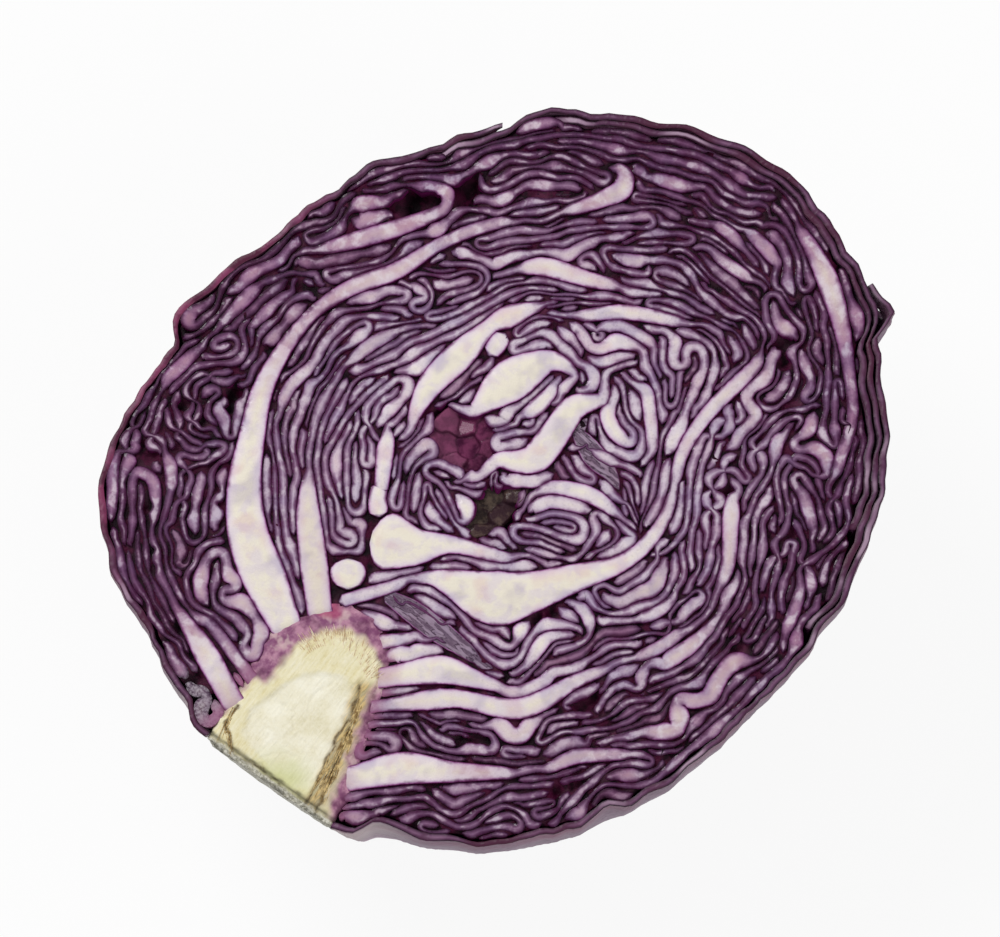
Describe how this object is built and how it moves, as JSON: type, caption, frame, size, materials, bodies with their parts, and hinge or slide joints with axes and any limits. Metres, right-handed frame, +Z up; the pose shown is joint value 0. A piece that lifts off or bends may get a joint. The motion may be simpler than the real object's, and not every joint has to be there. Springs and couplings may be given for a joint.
{
  "type": "halved red cabbage",
  "caption": "Half of a red cabbage head, cut lengthwise through its core and lying on its round back, with nested crinkled leaves, thick pale ribs and a cream core.",
  "frame": {"origin": "middle of the bounding box, on the surface that the half rests on", "axes": "+Z up, out of the cut face; +X along the longer way across the cut face, with the stem end at -X -Y"},
  "size_m": [0.15, 0.1424, 0.069],
  "materials": {
    "core": "moist cut stem flesh, cream with yellow-green",
    "rib_flesh": "moist cut rib, cream-white with lilac edges",
    "leaf_flesh": "moist cut leaf blade, lilac with a dark purple skin",
    "wrapper_skin": "waxy outer leaf, dull grey-mauve purple"
  },
  "bodies": {
    "root": {"core_stump": "core", "wrapper_leaf_1": "wrapper_skin", "wrapper_leaf_2": "wrapper_skin", "wrapper_leaf_3": "wrapper_skin", "wrapper_leaf_4": "wrapper_skin", "left_leaf_1": "leaf_flesh", "left_leaf_2": "leaf_flesh", "left_leaf_3": "leaf_flesh", "left_leaf_4": "leaf_flesh", "left_leaf_5": "leaf_flesh", "left_leaf_6": "leaf_flesh", "great_rib_leaf": "rib_flesh", "second_rib_leaf": "rib_flesh", "second_row_leaf_1": "leaf_flesh", "second_row_leaf_2": "leaf_flesh", "axil_bud": "rib_flesh", "heart_rib_leaf_1": "rib_flesh", "heart_rib_leaf_2": "rib_flesh", "heart_rib_leaf_3": "rib_flesh", "heart_rib_leaf_4": "rib_flesh", "heart_bud": "rib_flesh", "heart_rib_leaf_5": "rib_flesh", "heart_rib_leaf_6": "rib_flesh", "heart_leaf_1": "leaf_flesh", "heart_leaf_2": "leaf_flesh", "heart_leaf_3": "leaf_flesh", "heart_leaf_4": "leaf_flesh", "upper_leaf_1": "leaf_flesh", "upper_leaf_2": "leaf_flesh", "upper_leaf_3": "leaf_flesh", "upper_leaf_4": "leaf_flesh", "upper_leaf_5": "leaf_flesh", "upper_leaf_6": "leaf_flesh", "upper_leaf_7": "leaf_flesh", "upper_leaf_8": "leaf_flesh", "upper_leaf_9": "leaf_flesh", "upper_leaf_10": "leaf_flesh", "outer_rib_leaf": "rib_flesh", "right_leaf_1": "leaf_flesh", "right_leaf_2": "leaf_flesh", "right_leaf_3": "leaf_flesh", "right_leaf_4": "leaf_flesh", "right_leaf_5": "leaf_flesh", "right_leaf_6": "leaf_flesh", "right_leaf_7": "leaf_flesh", "right_leaf_8": "leaf_flesh", "bottom_rib_leaf_1": "rib_flesh", "bottom_rib_leaf_2": "rib_flesh", "bottom_rib_leaf_3": "rib_flesh", "bottom_leaf_1": "leaf_flesh", "bottom_leaf_2": "leaf_flesh", "bottom_leaf_3": "leaf_flesh", "bottom_leaf_4": "leaf_flesh", "bottom_leaf_5": "leaf_flesh", "bottom_leaf_6": "leaf_flesh", "bottom_leaf_7": "leaf_flesh", "bottom_leaf_8": "leaf_flesh", "bottom_leaf_9": "leaf_flesh", "bottom_leaf_10": "leaf_flesh", "bottom_leaf_11": "leaf_flesh"}
  },
  "joints": []
}
